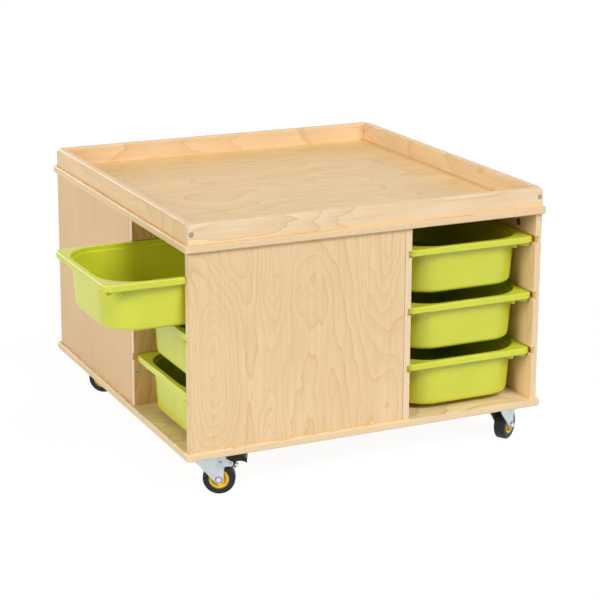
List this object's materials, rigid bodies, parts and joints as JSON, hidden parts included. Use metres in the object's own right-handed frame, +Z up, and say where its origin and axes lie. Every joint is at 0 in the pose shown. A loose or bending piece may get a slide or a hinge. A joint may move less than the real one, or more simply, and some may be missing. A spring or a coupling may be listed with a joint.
{
  "type": "mobile play table",
  "caption": "Square play table with a railed tray top, bays of sliding plastic bins round a pinwheel plywood body, and braked swivel casters.",
  "frame": {"origin": "on the floor below the middle of the table's square body, in the plane of the four tyres' contact points", "axes": "+Z up; -Y out of the front face, which has its closed panel on the left and its bay on the right; the bin that is pulled out leaves the left face towards -X"},
  "size_m": [0.9795, 0.8, 0.562],
  "materials": {
    "birch": "clear satin lacquer",
    "birch_inside": "clear satin lacquer",
    "beech": "bare",
    "lime_plastic": "semi-gloss",
    "zinc_steel": "bright zinc plate",
    "steel": "zinc plate",
    "hub_yellow": "satin",
    "grey_rubber": "matt",
    "black_plastic": "satin"
  },
  "bodies": {
    "body": {"bottom_board": "birch", "top_board": "birch", "front_panel": "birch", "front_divider": "birch_inside", "front_rail": "birch", "right_panel": "birch", "right_divider": "birch_inside", "right_rail": "birch", "back_panel": "birch", "back_divider": "birch_inside", "back_rail": "birch", "left_panel": "birch", "left_divider": "birch_inside", "left_rail": "birch", "rail_screws": "steel", "frame_screws": "steel", "dowels": "beech", "cam_fittings": "steel", "plate_screws": "steel", "kingpins": "steel", "plate_front_left": "zinc_steel", "plate_front_right": "zinc_steel", "plate_back_right": "zinc_steel", "plate_back_left": "zinc_steel"},
    "bin_front_top": {"bin_front_top": "lime_plastic"},
    "bin_front_middle": {"bin_front_middle": "lime_plastic"},
    "bin_front_bottom": {"bin_front_bottom": "lime_plastic"},
    "bin_right_top": {"bin_right_top": "lime_plastic"},
    "bin_right_middle": {"bin_right_middle": "lime_plastic"},
    "bin_right_bottom": {"bin_right_bottom": "lime_plastic"},
    "bin_back_top": {"bin_back_top": "lime_plastic"},
    "bin_back_middle": {"bin_back_middle": "lime_plastic"},
    "bin_back_bottom": {"bin_back_bottom": "lime_plastic"},
    "bin_left_top": {"bin_left_top": "lime_plastic"},
    "bin_left_middle": {"bin_left_middle": "lime_plastic"},
    "bin_left_bottom": {"bin_left_bottom": "lime_plastic"},
    "caster_front_left": {"fork_front_left": "zinc_steel", "axle_front_left": "steel"},
    "wheel_front_left": {"hub_front_left": "hub_yellow", "tyre_front_left": "grey_rubber"},
    "brake_front_left": {"brake_pedal_front_left": "black_plastic", "brake_bolt_front_left": "steel"},
    "caster_front_right": {"fork_front_right": "zinc_steel", "axle_front_right": "steel"},
    "wheel_front_right": {"hub_front_right": "hub_yellow", "tyre_front_right": "grey_rubber"},
    "brake_front_right": {"brake_pedal_front_right": "black_plastic", "brake_bolt_front_right": "steel"},
    "caster_back_right": {"fork_back_right": "zinc_steel", "axle_back_right": "steel"},
    "wheel_back_right": {"hub_back_right": "hub_yellow", "tyre_back_right": "grey_rubber"},
    "brake_back_right": {"brake_pedal_back_right": "black_plastic", "brake_bolt_back_right": "steel"},
    "caster_back_left": {"fork_back_left": "zinc_steel", "axle_back_left": "steel"},
    "wheel_back_left": {"hub_back_left": "hub_yellow", "tyre_back_left": "grey_rubber"},
    "brake_back_left": {"brake_pedal_back_left": "black_plastic", "brake_bolt_back_left": "steel"}
  },
  "joints": [
    {"name": "bin_front_top_slide", "type": "slide", "parent": "body", "child": "bin_front_top", "axis": [0, -1, 0], "range_m": [0, 0.28]},
    {"name": "bin_front_middle_slide", "type": "slide", "parent": "body", "child": "bin_front_middle", "axis": [0, -1, 0], "range_m": [0, 0.28]},
    {"name": "bin_front_bottom_slide", "type": "slide", "parent": "body", "child": "bin_front_bottom", "axis": [0, -1, 0], "range_m": [0, 0.28]},
    {"name": "bin_right_top_slide", "type": "slide", "parent": "body", "child": "bin_right_top", "axis": [1, 0, 0], "range_m": [0, 0.28]},
    {"name": "bin_right_middle_slide", "type": "slide", "parent": "body", "child": "bin_right_middle", "axis": [1, 0, 0], "range_m": [0, 0.28]},
    {"name": "bin_right_bottom_slide", "type": "slide", "parent": "body", "child": "bin_right_bottom", "axis": [1, 0, 0], "range_m": [0, 0.28]},
    {"name": "bin_back_top_slide", "type": "slide", "parent": "body", "child": "bin_back_top", "axis": [0, 1, 0], "range_m": [0, 0.28]},
    {"name": "bin_back_middle_slide", "type": "slide", "parent": "body", "child": "bin_back_middle", "axis": [0, 1, 0], "range_m": [0, 0.28]},
    {"name": "bin_back_bottom_slide", "type": "slide", "parent": "body", "child": "bin_back_bottom", "axis": [0, 1, 0], "range_m": [0, 0.28]},
    {"name": "bin_left_top_slide", "type": "slide", "parent": "body", "child": "bin_left_top", "axis": [-1, 0, 0], "range_m": [-0.17, 0.11]},
    {"name": "bin_left_middle_slide", "type": "slide", "parent": "body", "child": "bin_left_middle", "axis": [-1, 0, 0], "range_m": [0, 0.28]},
    {"name": "bin_left_bottom_slide", "type": "slide", "parent": "body", "child": "bin_left_bottom", "axis": [-1, 0, 0], "range_m": [0, 0.28]},
    {"name": "swivel_front_left", "type": "hinge", "parent": "body", "child": "caster_front_left", "pos_m": [-0.338, -0.338, 0.085], "axis": [0, 0, 1], "continuous": true},
    {"name": "roll_front_left", "type": "hinge", "parent": "caster_front_left", "child": "wheel_front_left", "pos_m": [-0.31283, -0.35027, 0.0325], "axis": [0.4384, 0.8988, 0], "continuous": true},
    {"name": "press_front_left", "type": "hinge", "parent": "caster_front_left", "child": "brake_front_left", "pos_m": [-0.29189, -0.36049, 0.066], "axis": [0.4384, 0.8988, 0], "range_deg": [0, 10]},
    {"name": "swivel_front_right", "type": "hinge", "parent": "body", "child": "caster_front_right", "pos_m": [0.338, -0.338, 0.085], "axis": [0, 0, 1], "continuous": true},
    {"name": "roll_front_right", "type": "hinge", "parent": "caster_front_right", "child": "wheel_front_right", "pos_m": [0.36121, -0.32234, 0.0325], "axis": [-0.5592, 0.829, 0], "continuous": true},
    {"name": "press_front_right", "type": "hinge", "parent": "caster_front_right", "child": "brake_front_right", "pos_m": [0.38053, -0.30931, 0.066], "axis": [-0.5592, 0.829, 0], "range_deg": [0, 10]},
    {"name": "swivel_back_right", "type": "hinge", "parent": "body", "child": "caster_back_right", "pos_m": [0.338, 0.338, 0.085], "axis": [0, 0, 1], "continuous": true},
    {"name": "roll_back_right", "type": "hinge", "parent": "caster_back_right", "child": "wheel_back_right", "pos_m": [0.36505, 0.34525, 0.0325], "axis": [-0.2588, 0.9659, 0], "continuous": true},
    {"name": "press_back_right", "type": "hinge", "parent": "caster_back_right", "child": "brake_back_right", "pos_m": [0.38755, 0.35128, 0.066], "axis": [-0.2588, 0.9659, 0], "range_deg": [0, 10]},
    {"name": "swivel_back_left", "type": "hinge", "parent": "body", "child": "caster_back_left", "pos_m": [-0.338, 0.338, 0.085], "axis": [0, 0, 1], "continuous": true},
    {"name": "roll_back_left", "type": "hinge", "parent": "caster_back_left", "child": "wheel_back_left", "pos_m": [-0.31655, 0.32, 0.0325], "axis": [0.6428, 0.766, 0], "continuous": true},
    {"name": "press_back_left", "type": "hinge", "parent": "caster_back_left", "child": "brake_back_left", "pos_m": [-0.2987, 0.30502, 0.066], "axis": [0.6428, 0.766, 0], "range_deg": [0, 10]}
  ]
}
